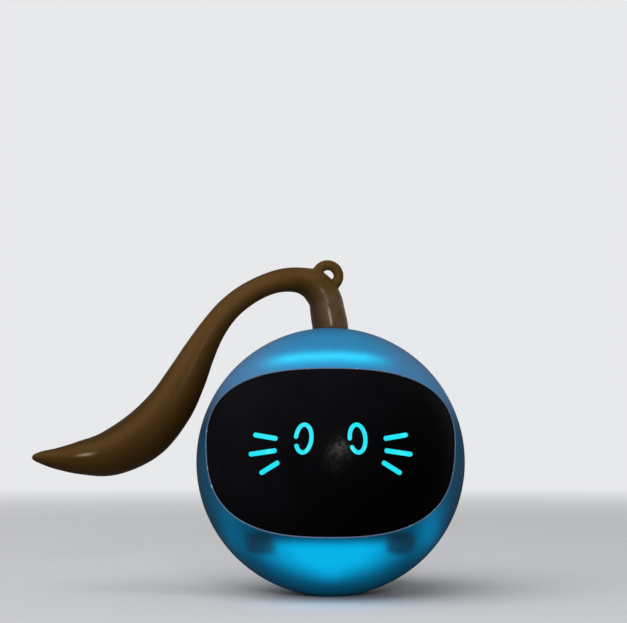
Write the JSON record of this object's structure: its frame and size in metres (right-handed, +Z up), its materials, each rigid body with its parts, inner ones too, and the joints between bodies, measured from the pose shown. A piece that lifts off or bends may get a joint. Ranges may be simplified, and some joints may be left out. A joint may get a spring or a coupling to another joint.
{
  "type": "interactive cat ball",
  "caption": "Self-rolling cat toy: a tinted two-part ball with a black visor, lit cat face, curved silicone tail with a hanging loop, and an off-centre weight driven inside.",
  "frame": {"origin": "centre of the flat under the ball that it stands on", "axes": "+Z up along the tail's stem, -Y out of the lit face, +X to the right of someone who looks at the face"},
  "size_m": [0.1134, 0.0699, 0.0875],
  "materials": {
    "shell": "glossy, tinted so that the lamps inside glow through",
    "visor": "glossy black",
    "face_light": "clear guide, lit from behind",
    "white_plastic": "moulded",
    "black_plastic": "moulded",
    "gear_plastic": "moulded acetal",
    "circuit_board": "solder mask",
    "led_lens": "clear over phosphor",
    "steel": "bright",
    "brass": "turned",
    "copper_winding": "enamelled wire",
    "magnet": "sintered",
    "battery_pouch": "foil",
    "foam": "closed cell",
    "wire_red": "sleeved",
    "tail_rubber": "satin silicone"
  },
  "bodies": {
    "shell": {"front_shell": "shell", "rear_shell": "shell", "visor": "visor", "face_light_guide": "face_light", "visor_screws": "steel", "face_board": "circuit_board", "face_leds": "led_lens", "glow_leds": "led_lens", "face_board_screws": "steel", "main_board": "circuit_board", "main_board_screws": "steel", "usb_port": "steel", "usb_tongue": "black_plastic", "tact_switch": "black_plastic", "wake_sensor": "brass", "control_chip": "black_plastic", "battery": "battery_pouch", "battery_pad": "foam", "gear_housing": "white_plastic", "gear_cover": "white_plastic", "cover_screws": "steel", "motor_can": "steel", "motor_magnets": "magnet", "motor_end_bell": "white_plastic", "motor_terminals": "brass", "motor_screws": "steel", "idler_pin": "steel", "upper_bush": "brass", "lower_bush": "brass", "shell_screws": "steel", "battery_leads": "wire_red", "motor_leads": "wire_red", "face_board_leads": "wire_red"},
    "tail": {"tail": "tail_rubber", "tail_stem": "white_plastic"},
    "power_button": {"power_button": "white_plastic", "switch_stem": "black_plastic"},
    "spinner": {"spindle": "steel", "output_gear": "gear_plastic", "eccentric_weight": "steel", "weight_screw": "steel"},
    "idler": {"idler_gear": "gear_plastic"},
    "rotor": {"motor_shaft": "steel", "motor_armature": "copper_winding", "motor_pinion": "brass"}
  },
  "joints": [
    {"name": "weight_spin", "type": "hinge", "parent": "shell", "child": "spinner", "pos_m": [0, 0, 0.01448], "axis": [0, 0, 1], "continuous": true},
    {"name": "idler_spin", "type": "hinge", "parent": "shell", "child": "idler", "pos_m": [0.00996, 0.00836, 0.02448], "axis": [0, 0, 1], "continuous": true},
    {"name": "motor_spin", "type": "hinge", "parent": "shell", "child": "rotor", "pos_m": [-0.00186, 0.01044, 0.02948], "axis": [0, 0, 1], "continuous": true},
    {"name": "button_press", "type": "slide", "parent": "shell", "child": "power_button", "axis": [0, -1, 0], "range_m": [0, 0.0005], "stiffness_N_per_m": 3000, "springref_m": -0.0002},
    {"name": "tail_swivel", "type": "hinge", "parent": "shell", "child": "tail", "pos_m": [0, 0, 0.06948], "axis": [0, 0, 1], "continuous": true}
  ],
  "couplings": [
    {"joint": "idler_spin", "follows": "weight_spin", "ratio": -3.3333},
    {"joint": "motor_spin", "follows": "weight_spin", "ratio": 10}
  ]
}
